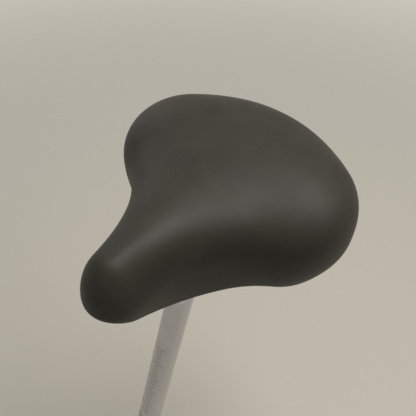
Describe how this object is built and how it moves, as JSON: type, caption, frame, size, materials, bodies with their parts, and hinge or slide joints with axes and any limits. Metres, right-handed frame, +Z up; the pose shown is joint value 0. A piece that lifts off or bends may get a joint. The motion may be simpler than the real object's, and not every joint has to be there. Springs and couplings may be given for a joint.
{
  "type": "bicycle saddle with seat post",
  "caption": "Wide padded bicycle saddle on coil springs, held by its rail clamp on a straight seat post.",
  "frame": {"origin": "on the seat post's axis at its minimum-insertion line, 70 mm above its lower end", "axes": "+Z up, -Y towards the saddle's nose, +X towards the rider's left; the post leans back at 71.5 degrees to the floor"},
  "size_m": [0.2367, 0.2592, 0.4109],
  "materials": {
    "cushion_vinyl": "satin, fine grain",
    "base_plastic": "matt",
    "frame_black": "satin",
    "spring_black": "satin",
    "cup_steel": "satin",
    "clamp_steel": "satin",
    "fastener_zinc": "bright zinc",
    "post_alloy": "brushed"
  },
  "bodies": {
    "post": {"seat_post": "post_alloy", "clamp_core": "clamp_steel"},
    "cradle": {"inner_cheek_left": "clamp_steel", "inner_cheek_right": "clamp_steel", "outer_cheek_left": "clamp_steel", "outer_cheek_right": "clamp_steel", "clamp_bolt": "fastener_zinc", "clamp_washer_left": "fastener_zinc", "clamp_washer_right": "fastener_zinc", "clamp_nut_left": "fastener_zinc", "clamp_nut_right": "fastener_zinc"},
    "saddle": {"cushion": "cushion_vinyl", "base": "base_plastic", "nose_block": "base_plastic", "rail_left": "frame_black", "rail_right": "frame_black", "cross_plate": "frame_black", "spring_left": "spring_black", "spring_right": "spring_black", "lower_cup_left": "cup_steel", "lower_cup_right": "cup_steel", "upper_cup_left": "cup_steel", "upper_cup_right": "cup_steel", "spring_bolt_left": "fastener_zinc", "spring_bolt_right": "fastener_zinc", "spring_nut_left": "fastener_zinc", "spring_nut_right": "fastener_zinc", "spring_screw_left": "fastener_zinc", "spring_screw_right": "fastener_zinc"}
  },
  "joints": [
    {"name": "saddle_tilt", "type": "hinge", "parent": "post", "child": "cradle", "pos_m": [0, 0.09575, 0.21999], "axis": [1, 0, 0], "range_deg": [-12, 12]},
    {"name": "saddle_slide", "type": "slide", "parent": "cradle", "child": "saddle", "axis": [0, 1, 0], "range_m": [-0.018, 0.018]}
  ]
}
